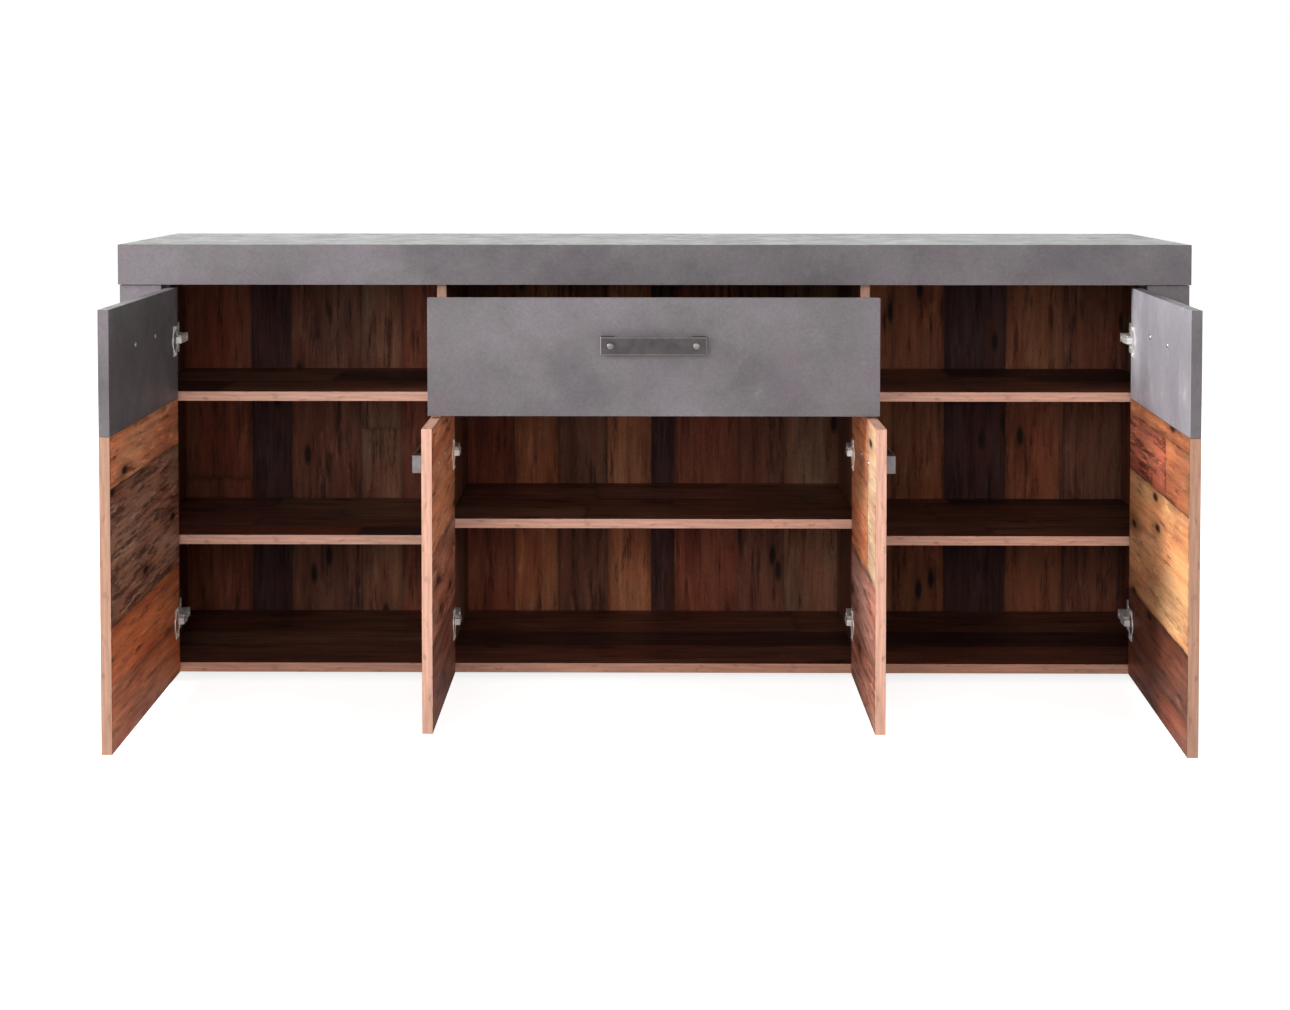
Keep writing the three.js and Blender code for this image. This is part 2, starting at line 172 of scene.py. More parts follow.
def stone_laminate(name, tones, shine):
    """Melamine with a stone print, which gives a soft grey clouding under a low even sheen. tones
    are the dark, middle and light clouds, the veil and the scuffs. Clouds are about 170 mm
    across, veils 80, scuffs 40 and specks 4; a real speck is finer and would not show."""
    dark, middle, light, veil_tone, scuff_tone = tones
    made, tree, shader = new_material(name)
    at = add(tree, "ShaderNodeTexCoord").outputs["Object"]
    cloud = add(tree, "ShaderNodeTexNoise", {"Vector": at, "Scale": 6, "Detail": 5, "Roughness": 0.6})
    clouded = add(tree, "ShaderNodeValToRGB", {"Fac": cloud},
                  stops=((0.34, dark), (0.5, middle), (0.66, light)))
    drift = add(tree, "ShaderNodeMapping", {"Vector": at, "Location": (3.1, 1.7, 5.3)})
    veil = add(tree, "ShaderNodeTexNoise", {"Vector": drift, "Scale": 13, "Detail": 4, "Roughness": 0.65})
    veil_share = add(tree, "ShaderNodeMapRange", {"Value": veil, "From Min": 0.45, "From Max": 0.68,
                     "To Max": 0.55})
    veiled = add(tree, "ShaderNodeMixRGB", {"Fac": veil_share, "Color1": clouded,
                 "Color2": linear(veil_tone)})
    scuff = add(tree, "ShaderNodeTexNoise", {"Vector": at, "Scale": 24, "Detail": 9, "Roughness": 0.72})
    scuff_share = add(tree, "ShaderNodeMapRange", {"Value": scuff, "From Min": 0.60, "From Max": 0.74,
                      "To Max": 0.5})
    scuffed = add(tree, "ShaderNodeMixRGB", {"Fac": scuff_share, "Color1": veiled,
                  "Color2": linear(scuff_tone)})
    speck = add(tree, "ShaderNodeTexNoise", {"Vector": at, "Scale": 260, "Detail": 2})
    grit = add(tree, "ShaderNodeMapRange", {"Value": speck, "From Min": 0.3, "From Max": 0.7, "To Min": 0.90,
               "To Max": 1.10})
    colour = add(tree, "ShaderNodeVectorMath", {0: scuffed, 1: grit}, operation="MULTIPLY")
    tree.links.new(colour.outputs[0], shader.inputs["Base Color"])
    gloss = add(tree, "ShaderNodeMapRange", {"Value": scuff, "From Min": 0.35, "From Max": 0.65,
                "To Min": shine + 0.08, "To Max": shine - 0.08})
    tree.links.new(gloss.outputs[0], shader.inputs["Roughness"])
    height = add(tree, "ShaderNodeMath", {0: speck, 1: scuff}, operation="ADD")
    bump = add(tree, "ShaderNodeBump", {"Height": height, "Strength": 0.25, "Distance": 0.3 * MM})
    tree.links.new(bump.outputs[0], shader.inputs["Normal"])
    return made


stone = stone_laminate("stone_print_melamine", ("#5c575b", "#6b6668", "#766e74", "#6e6069", "#888287"), 0.44)


def soften(piece, width, segments=3, angle=40):
    """Rounds the edges of a piece with a live bevel and smooths only its curved faces."""
    bevel = piece.modifiers.new("eased_edges", "BEVEL")
    bevel.width = width
    bevel.segments = segments
    bevel.limit_method = "ANGLE"
    bevel.angle_limit = math.radians(angle)
    bevel.harden_normals = True
    for face in piece.data.polygons:
        face.use_smooth = True
    piece.data.set_sharp_from_angle(angle=math.radians(angle))


def add_piece(name, body, bm, materials, replaced=(), place=None):
    """A finished piece from a bmesh: on its body, in its finish, for the CAD nodes it replaces."""
    bmesh.ops.recalc_face_normals(bm, faces=bm.faces)
    if place is not None:
        bm.transform(place)
    mesh = bpy.data.meshes.new(name)
    bm.to_mesh(mesh)
    bm.free()
    for material in materials:
        mesh.materials.append(material)
    piece = link_object(name, mesh)
    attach(piece, body)
    if replaced:
        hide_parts(*replaced)
    return piece


def box_mesh(low, high):
    """A box between two corners."""
    bm = bmesh.new()
    size = high - low
    for vert in bmesh.ops.create_cube(bm, size=1)["verts"]:
        vert.co = low + Vector((vert.co[i] + 0.5) * size[i] for i in range(3))
    return bm


slab_low, slab_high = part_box("top_frame")
slab = box_mesh(slab_low, slab_high)
under = min(slab.faces, key=lambda face: face.calc_center_median().z)
bmesh.ops.inset_region(slab, faces=[under], thickness=SLAB_BOARD, use_even_offset=True)
for vert in under.verts:
    vert.co.z = slab_high.z - SLAB_BOARD
slab_piece = add_piece("top_slab", "carcass", slab, [stone], ("top_frame", "top_board"))
soften(slab_piece, SLAB_EASED)


# --- Plank boards ----------------------------------------------------------------------
# Everything inside, and the lower fronts, is 16 mm chipboard with a print of reclaimed
# planks: sawn boards of mixed age butted together, weathered, knotted and dark at the
# joints. Narrow edges wear a wood-print band, salmon, tan or brown.
EASED = 0.7 * MM
# Each tone's colour, and how weathered its planks are
PLANK_TONES = {
    "cream": ("#e6bd96", 0.15),
    "clay": ("#b5745d", 0.75),
    "chestnut": ("#95583c", 0.50),
    "ember": ("#de8e64", 0.40),
    "amber": ("#b26e4b", 0.40),
    "orange": ("#cb7146", 0.45),
    "russet": ("#8c4b35", 0.45),
    "mottle": ("#b6644b", 0.85),
    "umber": ("#7a4a38", 0.60),
    "drift": ("#9a6c56", 1.00),
    "bog": ("#4b2d2b", 0.75),
    "plum": ("#8a5546", 0.65),
    "mauve": ("#b98270", 0.60),
    "olive": ("#8c6049", 0.45),
    "gold": ("#e2a472", 0.28),
}


def plank_laminate(name, depth, shine, gleam, seam_depth, wear):
    """Coated board with an old-plank print, half matt. The grain map runs along each plank, in
    metres from its middle; plank_size holds its half length, half width and seed; plank_tone
    its colour and, in alpha, how weathered it is. depth scales the whole print darker or
    lighter, shine is its roughness, gleam how strongly it reflects, seam_depth darkens its
    joints and wear the pale scratches on it."""
    made, tree, shader = new_material(name)
    shader.inputs["Specular IOR Level"].default_value = gleam
    grain = add(tree, "ShaderNodeUVMap", uv_map="grain")
    size = add(tree, "ShaderNodeAttribute", attribute_name="plank_size").outputs["Vector"]
    tone = add(tree, "ShaderNodeAttribute", attribute_name="plank_tone")
    age = tone.outputs["Alpha"]
    seed = add(tree, "ShaderNodeSeparateXYZ", {0: size}).outputs["Z"]
    shift = add(tree, "ShaderNodeCombineXYZ", {"X": seed, "Y": seed})
    at = add(tree, "ShaderNodeVectorMath", {0: grain, 1: shift}, operation="ADD")

    def streaks(along, across, detail, rough):
        """Noise with so many features in a metre along and across the grain."""
        stretched = add(tree, "ShaderNodeVectorMath", {0: at, 1: (along, across, 0)}, operation="MULTIPLY")
        return add(tree, "ShaderNodeTexNoise", {"Vector": stretched, "Scale": 1.0, "Detail": detail,
                   "Roughness": rough}, noise_dimensions="2D")

    # From 110 by 4 mm to 310 by 60 mm, and a grit of 7 by 3 mm. Real pores are finer than
    # this, and are drawn as coarse as they need to show
    fine = streaks(9, 240, 4, 0.6)
    middle = streaks(5.5, 62, 7, 0.66)
    broad = streaks(3.2, 17, 6, 0.6)
    patch = streaks(9, 30, 9, 0.72)
    scratch = streaks(13, 130, 6, 0.72)
    grit = streaks(150, 300, 2, 0.6)
    hue = streaks(4, 11, 5, 0.6)

    # Each streak tilts the plank's own colour lighter and yellower or darker and redder
    lighter = add(tree, "ShaderNodeVectorMath", {0: tone, 1: (1.28, 1.36, 1.30)}, operation="MULTIPLY")
    darker = add(tree, "ShaderNodeVectorMath", {0: tone, 1: (0.66, 0.56, 0.56)}, operation="MULTIPLY")
    lean = add(tree, "ShaderNodeMath", {0: broad, 1: middle}, operation="ADD")
    light_share = add(tree, "ShaderNodeMapRange", {"Value": lean, "From Min": 0.72, "From Max": 1.28})
    grained = add(tree, "ShaderNodeMixRGB", {"Fac": light_share, "Color1": darker, "Color2": lighter})
    fine_lines = add(tree, "ShaderNodeMapRange", {"Value": fine, "From Min": 0.3, "From Max": 0.7,
                     "To Min": 0.88, "To Max": 1.12})
    gritty = add(tree, "ShaderNodeMapRange", {"Value": grit, "From Min": 0.3, "From Max": 0.7,
                 "To Min": 0.90, "To Max": 1.10})
    fine_share = add(tree, "ShaderNodeMath", {0: fine_lines, 1: gritty}, operation="MULTIPLY")
    lined = add(tree, "ShaderNodeVectorMath", {0: grained, 1: fine_share}, operation="MULTIPLY")

    # Broad drifts of colour, redder in one place and duller in the next
    redder = add(tree, "ShaderNodeVectorMath", {0: lined, 1: (1.08, 0.92, 0.88)}, operation="MULTIPLY")
    duller = add(tree, "ShaderNodeVectorMath", {0: lined, 1: (0.93, 1.05, 1.13)}, operation="MULTIPLY")
    red_share = add(tree, "ShaderNodeMapRange", {"Value": hue, "From Min": 0.36, "From Max": 0.64})
    tinted = add(tree, "ShaderNodeMixRGB", {"Fac": red_share, "Color1": duller, "Color2": redder})

    # Weathering: dark streaks along the grain, gathered in patches, most on the oldest planks
    soiled = add(tree, "ShaderNodeMath", {0: middle, 1: scratch}, operation="ADD")
    soil_age = add(tree, "ShaderNodeMapRange", {"Value": age, "To Min": 0.34, "To Max": 0.60})
    reach = add(tree, "ShaderNodeMath", {0: patch, 1: 0.9, 2: soil_age}, operation="MULTIPLY_ADD")
    short = add(tree, "ShaderNodeMath", {0: reach, 1: soiled}, operation="SUBTRACT")
    stain = add(tree, "ShaderNodeMapRange", {"Value": short, "From Max": 0.22, "To Max": 0.72})
    stained = add(tree, "ShaderNodeMixRGB", {"Fac": stain, "Color1": tinted, "Color2": linear("#2a1912")})

    # Pale scratches where the surface is rubbed, again strongest on old planks
    rubbed = add(tree, "ShaderNodeMath", {0: scratch, 1: patch}, operation="ADD")
    scratched = add(tree, "ShaderNodeMapRange", {"Value": rubbed, "From Min": 1.08, "From Max": 1.30,
                    "To Max": wear})
    rub_age = add(tree, "ShaderNodeMapRange", {"Value": age, "To Min": 0.35})
    rub = add(tree, "ShaderNodeMath", {0: scratched, 1: rub_age}, operation="MULTIPLY")
    bare = add(tree, "ShaderNodeVectorMath", {0: tone, 1: (1.9, 2.2, 2.3)}, operation="MULTIPLY")
    worn = add(tree, "ShaderNodeMixRGB", {"Fac": rub, "Color1": stained, "Color2": bare})

    # Knots sit in cells of 190 by 60 mm, one cell in three: a dark eye in a reddish halo
    cells = add(tree, "ShaderNodeVectorMath", {0: at, 1: (5.3, 16, 0)}, operation="MULTIPLY")
    knot = add(tree, "ShaderNodeTexVoronoi", {"Vector": cells, "Scale": 1.0}, voronoi_dimensions="2D")
    chosen = add(tree, "ShaderNodeSeparateColor", {0: knot.outputs["Color"]})
    kept = add(tree, "ShaderNodeMath", {0: chosen, 1: 0.66}, operation="GREATER_THAN")
    halo_reach = add(tree, "ShaderNodeMapRange", {"Value": knot.outputs["Distance"], "From Min": 0.1,
                     "From Max": 0.42, "To Min": 0.5, "To Max": 0.0})
    halo = add(tree, "ShaderNodeMath", {0: halo_reach, 1: kept}, operation="MULTIPLY")
    haloed = add(tree, "ShaderNodeMixRGB", {"Fac": halo, "Color1": worn, "Color2": linear("#5a2c18")})
    eye_reach = add(tree, "ShaderNodeMapRange", {"Value": knot.outputs["Distance"], "From Min": 0.06,
                    "From Max": 0.13, "To Min": 0.95, "To Max": 0.0})
    eye = add(tree, "ShaderNodeMath", {0: eye_reach, 1: kept}, operation="MULTIPLY")
    knotted = add(tree, "ShaderNodeMixRGB", {"Fac": eye, "Color1": haloed, "Color2": linear("#1d0f0a")})

    # A ragged dark joint round each plank, up to 3 mm, in a grimy margin of about 10 mm
    away = add(tree, "ShaderNodeVectorMath", {0: grain}, operation="ABSOLUTE")
    inside = add(tree, "ShaderNodeVectorMath", {0: size, 1: away}, operation="SUBTRACT")
    sides = add(tree, "ShaderNodeSeparateXYZ", {0: inside})
    near = add(tree, "ShaderNodeMath", {0: sides.outputs[0], 1: sides.outputs[1]}, operation="MINIMUM")
    ragged = add(tree, "ShaderNodeMath", {0: patch, 1: 14 * MM, 2: near}, operation="MULTIPLY_ADD")
    grime = add(tree, "ShaderNodeMapRange", {"Value": ragged, "From Min": 17 * MM, "From Max": 6 * MM,
                "To Max": 0.45})
    dirty = add(tree, "ShaderNodeMixRGB", {"Fac": grime, "Color1": knotted, "Color2": linear("#3a2117")})
    seam = add(tree, "ShaderNodeMapRange", {"Value": ragged, "From Min": 8.0 * MM, "From Max": 5.6 * MM,
               "To Max": seam_depth})
    joined = add(tree, "ShaderNodeMixRGB", {"Fac": seam, "Color1": dirty, "Color2": linear("#150c08")})
    shaded = add(tree, "ShaderNodeVectorMath", {0: joined, 1: (depth, depth, depth)}, operation="MULTIPLY")
    tree.links.new(shaded.outputs[0], shader.inputs["Base Color"])

    gloss = add(tree, "ShaderNodeMapRange", {"Value": middle, "From Min": 0.3, "From Max": 0.7,
                "To Min": shine + 0.1, "To Max": shine - 0.06})
    tree.links.new(gloss.outputs[0], shader.inputs["Roughness"])
    dip = add(tree, "ShaderNodeMath", {0: fine, 1: seam}, operation="SUBTRACT")
    bump = add(tree, "ShaderNodeBump", {"Height": dip, "Strength": 0.35, "Distance": 0.35 * MM})
    tree.links.new(bump.outputs[0], shader.inputs["Normal"])
    return made


def edge_band(name, colour, fleck):
    """ABS edge band, smooth and half matt, printed with a fine straight grain of 70 by 4 mm and
    small dark flecks of 22 by 9 mm."""
    made, tree, shader = new_material(name)
    grain = add(tree, "ShaderNodeUVMap", uv_map="grain")
    long = add(tree, "ShaderNodeVectorMath", {0: grain, 1: (14, 240, 0)}, operation="MULTIPLY")
    lines = add(tree, "ShaderNodeTexNoise", {"Vector": long, "Scale": 1.0, "Detail": 4},
                noise_dimensions="2D")
    short = add(tree, "ShaderNodeVectorMath", {0: grain, 1: (45, 110, 0)}, operation="MULTIPLY")
    flecks = add(tree, "ShaderNodeTexNoise", {"Vector": short, "Scale": 1.0, "Detail": 3},
                 noise_dimensions="2D")
    share = add(tree, "ShaderNodeMapRange", {"Value": flecks, "From Min": 0.60, "From Max": 0.76,
                "To Max": 0.4})
    tint = add(tree, "ShaderNodeMapRange", {"Value": lines, "From Min": 0.3, "From Max": 0.7, "To Min": 0.84,
               "To Max": 1.12})
    lined = add(tree, "ShaderNodeVectorMath", {0: linear(colour)[:3], 1: tint}, operation="MULTIPLY")
    flecked = add(tree, "ShaderNodeMixRGB", {"Fac": share, "Color1": lined, "Color2": linear(fleck)})
    tree.links.new(flecked.outputs[0], shader.inputs["Base Color"])
    shader.inputs["Roughness"].default_value = 0.42
    return made


plank_print = plank_laminate("old_plank_melamine", depth=1.0, shine=0.44, gleam=0.45, seam_depth=0.85,
                             wear=0.9)
shade_print = plank_laminate("old_plank_melamine_dark", depth=0.74, shine=0.5, gleam=0.3, seam_depth=0.7,
                             wear=0.9)
salmon_band = edge_band("salmon_wood_edge_band", "#e1ab94", "#8f5b47")
brown_band = edge_band("brown_wood_edge_band", "#b4876f", "#744634")
tan_band = edge_band("tan_wood_edge_band", "#c9937b", "#7d4e3b")

# Rows of planks laid at random: a remnant narrower than LEAST_ROW joins the row beside it,
# and only a board longer than LONG_BOARD has two planks in a row, butted between these
# shares of its length. Each plank's print starts at its own place in SEED_SPAN metres
ROW_WIDTHS = (70, 95, 120, 150)
LEAST_ROW = 40 * MM
LONG_BOARD = 420 * MM
BUTT_SHARES = (0.25, 0.75)
SEED_SPAN = 40


def random_planks(rng, length, width, tones):
    """Rows of planks across a board: each row is its width and its planks' lengths and tones."""
    rows = []
    left = width
    while left > 0:
        row = min(left, rng.choice(ROW_WIDTHS) * MM)
        if left - row < LEAST_ROW:
            row = left
        cut = rng.uniform(*BUTT_SHARES) * length
        planks = [(cut, rng.choice(tones)), (length - cut, rng.choice(tones))]
        rows.append((row, planks if length > LONG_BOARD else [(length, rng.choice(tones))]))
        left -= row
    return rows


def lay_out(rng, rows):
    """Turns rows into rectangles along and across the board, each with a tone and a seed."""
    planks = []
    v = 0.0
    for width, pieces in rows:
        u = 0.0
        for length, tone in pieces:
            planks.append((u, u + length, v, v + width, tone, rng.uniform(0, SEED_SPAN)))
            u += length
        v += width
    return planks


def other_axes(size, grain):
    """The axis of a board's thickness, and the axis across its planks."""
    thin = min(range(3), key=lambda i: size[i])
    return thin, 3 - thin - grain


# Two cuts nearer than this would leave a sliver; a rim has no joint within NO_JOINT metres
SLIVER = 0.1 * MM
NO_JOINT = (9, 9)


def plank_board(name, body, low, high, grain, faces, looks, replaced=(), place=None):
    """A board whose two broad faces are cut along its planks. grain is the axis that the
    planks run along; faces holds the planks of the low and the high face, and looks the print
    and the edge band."""
    size = high - low
    thin, cross = other_axes(size, grain)
    cuts = {grain: {0.0, size[grain]}, cross: {0.0, size[cross]}}
    for u0, u1, v0, v1, *_ in [plank for face in faces for plank in face]:
        cuts[grain].update(u for u in (u0, u1) if SLIVER < u < size[grain] - SLIVER)
        cuts[cross].update(v for v in (v0, v1) if SLIVER < v < size[cross] - SLIVER)
    us, vs = sorted(cuts[grain]), sorted(cuts[cross])
    bm = bmesh.new()
    uv = bm.loops.layers.uv.new("grain")
    tone_layer = bm.loops.layers.float_color.new("plank_tone")
    size_layer = bm.loops.layers.float_vector.new("plank_size")

    def corner(side, i, j):
        spot = low.copy()
        spot[grain] += us[i]
        spot[cross] += vs[j]
        spot[thin] += size[thin] * side
        return bm.verts.new(spot)

    grid = [[[corner(side, i, j) for j in range(len(vs))] for i in range(len(us))] for side in (0, 1)]

    def paint(face, middle, half, tone, seed, axes, weather):
        for loop in face.loops:
            loop[uv].uv = [loop.vert.co[a] - low[a] - middle[k] for k, a in enumerate(axes)]
            loop[tone_layer] = (*linear(tone)[:3], weather)
            loop[size_layer] = (*half, seed)

    for side, planks in enumerate(faces):
        for i in range(len(us) - 1):
            for j in range(len(vs) - 1):
                face = bm.faces.new([grid[side][i + a][j + b] for a, b in ((0, 0), (1, 0), (1, 1), (0, 1))])
                u, v = (us[i] + us[i + 1]) / 2, (vs[j] + vs[j + 1]) / 2
                found = [p for p in planks if p[0] <= u <= p[1] and p[2] <= v <= p[3]]
                u0, u1, v0, v1, key, seed = found[0] if found else planks[-1]
                tone, weather = PLANK_TONES[key]
                middle = ((u0 + u1) / 2, (v0 + v1) / 2)
                half = ((u1 - u0) / 2, (v1 - v0) / 2)
                paint(face, middle, half, tone, seed, (grain, cross), weather)
    last_i, last_j = len(us) - 1, len(vs) - 1
    rims = [((i, 0), (i + 1, 0), grain) for i in range(last_i)]
    rims += [((i, last_j), (i + 1, last_j), grain) for i in range(last_i)]
    rims += [((0, j), (0, j + 1), cross) for j in range(last_j)]
    rims += [((last_i, j), (last_i, j + 1), cross) for j in range(last_j)]
    for (i0, j0), (i1, j1), along in rims:
        face = bm.faces.new([grid[0][i0][j0], grid[0][i1][j1], grid[1][i1][j1], grid[1][i0][j0]])
        face.material_index = 1
        paint(face, (0, 0), NO_JOINT, "#ffffff", 0, (along, thin), 0)
    piece = add_piece(name, body, bm, looks, replaced, place)
    soften(piece, EASED, 2)
    return piece


GRAIN_X, GRAIN_Z = 0, 2
DARK = ("umber", "russet", "bog", "plum", "umber", "olive")


def carcass_board(node, grain, seed, band):
    """A plank board in place of a CAD board of the carcass, with its planks laid at random."""
    low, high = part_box(node)
    size = high - low
    rng = random.Random(seed)
    cross = other_axes(size, grain)[1]
    faces = [lay_out(rng, random_planks(rng, size[grain], size[cross], DARK)) for _ in range(2)]
    plank_board(f"{node}_board", "carcass", low, high, grain, faces, [shade_print, band], (node,))


carcass_board("carcass_lid", GRAIN_X, 11, brown_band)
carcass_board("bottom_panel", GRAIN_X, 12, tan_band)
carcass_board("drawer_deck", GRAIN_X, 13, salmon_band)
carcass_board("shelf_center", GRAIN_X, 14, salmon_band)
for number, side in enumerate(("left", "right")):
    carcass_board(f"shelf_upper_{side}", GRAIN_X, 21 + number, salmon_band)
    carcass_board(f"shelf_lower_{side}", GRAIN_X, 31 + number, salmon_band)
    carcass_board(f"divider_{side}", GRAIN_Z, 41 + number, brown_band)
    carcass_board(f"side_panel_{side}", GRAIN_Z, 51 + number, brown_band)


# --- Back panel ------------------------------------------------------------------------
# A 3 mm fibreboard sheet slid into grooves. Its print runs upright, in planks from 43 to
# 134 mm wide; the rear is bare brown fibre.
BACK_PLANKS = ((129, "russet"), (74, "bog"), (129, "umber"), (76, "olive"), (94, "russet"),
               (115, "russet"), (80, "amber"), (92, "umber"), (81, "amber"), (43, "bog"),
               (118, "russet"), (85, "umber"), (102, "olive"), (98, "amber"), (96, "chestnut"),
               (113, "bog"), (107, "chestnut"), (134, "umber"))
# Planks have their cross joint above HIGH_JOINT of the height, out of sight under the slab,
# but the two numbered in LOW_JOINTS have it lower, between these shares
HIGH_JOINT = 0.95
LOW_JOINTS = (0, 3)
LOW_SHARES = (0.2, 0.8)
# How often the length above the joint is of another tone
CHANGED_TONE = 0.4
back_print = plank_laminate("old_plank_fibreboard", depth=0.76, shine=0.6, gleam=0.15, seam_depth=0.3,
                            wear=0.7)


def bare_fibreboard(name):
    """The uncoated rear of hardboard: flat brown with a felted mottle of about 11 mm."""
    made, tree, shader = new_material(name)
    at = add(tree, "ShaderNodeTexCoord").outputs["Object"]
    felt = add(tree, "ShaderNodeTexNoise", {"Vector": at, "Scale": 90, "Detail": 6, "Roughness": 0.7})
    mottled = add(tree, "ShaderNodeValToRGB", {"Fac": felt}, stops=((0.3, "#7d624a"), (0.7, "#a08465")))
    tree.links.new(mottled.outputs[0], shader.inputs["Base Color"])
    shader.inputs["Roughness"].default_value = 0.85
    return made


bare_back = bare_fibreboard("bare_hardboard")
back_low, back_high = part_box("back_panel")
tall = back_high.z - back_low.z
rng = random.Random(7)
planks = []
u = 0.0
for number, (width, tone) in enumerate(BACK_PLANKS):
    share = rng.uniform(*LOW_SHARES)
    cut = (share if number in LOW_JOINTS else HIGH_JOINT + (1 - HIGH_JOINT) * share) * tall
    second = rng.choice(DARK)
    planks.append((0.0, cut, u, u + width * MM, tone, rng.uniform(0, SEED_SPAN)))
    upper_tone = second if rng.random() < CHANGED_TONE else tone
    planks.append((cut, tall, u, u + width * MM, upper_tone, rng.uniform(0, SEED_SPAN)))
    u += width * MM
back_piece = plank_board("back_panel_sheet", "carcass", back_low, back_high, GRAIN_Z, [planks, planks],
                         [back_print, bare_back], ("back_panel",))
for face in back_piece.data.polygons:
    if face.normal.y > 0.5:
        face.material_index = 1


# --- Stiles and hinge strips -----------------------------------------------------------
# A wide grey stile stands at each end of the front. Behind it a strip of board, deeper where the hinges sit,
# carries the outer doors; its plain brown foil is painted near black, as painted shade.
for side in ("left", "right"):
    bm = box_mesh(*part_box(f"front_stile_{side}"))
    stile = add_piece(f"stile_{side}_board", "carcass", bm, [stone], (f"front_stile_{side}",))
    soften(stile, EASED)


def plain_foil(name, dark, light, scale, shine):
    """A plain printed foil, half matt: soft straight streaks along one axis of the piece, about
    200 mm long and 11 to 17 mm wide, coarser than real grain so that they show."""
    made, tree, shader = new_material(name)
    at = add(tree, "ShaderNodeTexCoord").outputs["Object"]
    stretched = add(tree, "ShaderNodeMapping", {"Vector": at, "Scale": scale})
    streak = add(tree, "ShaderNodeTexNoise", {"Vector": stretched, "Scale": 1.0, "Detail": 5,
                 "Roughness": 0.6})
    streaked = add(tree, "ShaderNodeValToRGB", {"Fac": streak}, stops=((0.32, dark), (0.68, light)))
    tree.links.new(streaked.outputs[0], shader.inputs["Base Color"])
    shader.inputs["Roughness"].default_value = shine
    return made


WELD = 1e-6


def merged_copy(name, node, body, material, width, angle=40):
    """A CAD node's shape as one clean mesh with eased edges."""
    bm = bmesh.new()
    bm.from_mesh(frame["nodes"][node].data)
    bmesh.ops.remove_doubles(bm, verts=bm.verts, dist=WELD)
    bmesh.ops.dissolve_limit(bm, angle_limit=math.radians(1), verts=bm.verts, edges=bm.edges)
    piece = add_piece(name, body, bm, [material], (node,))
    soften(piece, width, 2, angle)


# Near black as painted shade: the strips stand in the shadow behind the doors
strip_foil_painted_shade = plain_foil("brown_wood_foil_painted_shade", "#21140f", "#38241b", scale=(90, 90, 5), shine=0.5)
for side in ("left", "right"):
    strip = f"hinge_strip_{side}"
    merged_copy(f"{strip}_board", strip, "carcass", strip_foil_painted_shade, EASED)


# --- Floor glides ----------------------------------------------------------------------
# Five black polypropylene glides, moulded, with soft edges. They stand well back, so that
# the box seems to float.
GLIDE_EASED = 0.6 * MM


def moulded_plastic(name, colour, shine):
    """Moulded polypropylene: near black and half matt, with a pebbled skin of 1.4 mm."""
    made, tree, shader = new_material(name)
    at = add(tree, "ShaderNodeTexCoord").outputs["Object"]
    pebble = add(tree, "ShaderNodeTexNoise", {"Vector": at, "Scale": 700, "Detail": 2})
    tint = add(tree, "ShaderNodeMapRange", {"Value": pebble, "To Min": 0.85, "To Max": 1.15})
    shade = add(tree, "ShaderNodeVectorMath", {0: linear(colour)[:3], 1: tint}, operation="MULTIPLY")
    tree.links.new(shade.outputs[0], shader.inputs["Base Color"])
    shader.inputs["Roughness"].default_value = shine
    bump = add(tree, "ShaderNodeBump", {"Height": pebble, "Strength": 0.3, "Distance": 0.1 * MM})
    tree.links.new(bump.outputs[0], shader.inputs["Normal"])
    return made


black_plastic = moulded_plastic("black_polypropylene", "#1d1c1c", 0.5)
for spot in ("front_left", "front_right", "rear_left", "rear_right", "center"):
    glide = f"glide_{spot}"
    merged_copy(f"{glide}_foot", glide, "carcass", black_plastic, GLIDE_EASED, 30)


# --- Screws ----------------------------------------------------------------------------
# Domed cross-head screws of plated steel hold the handles and the hinges. One head is
# drawn, and set on every point where a fitting is fixed.
SLOT_LONG = 1.15  # of the head's radius
SLOT_WIDE = 0.26  # of the head's radius
SLOT_DEEP = 1.1  # of the head's height


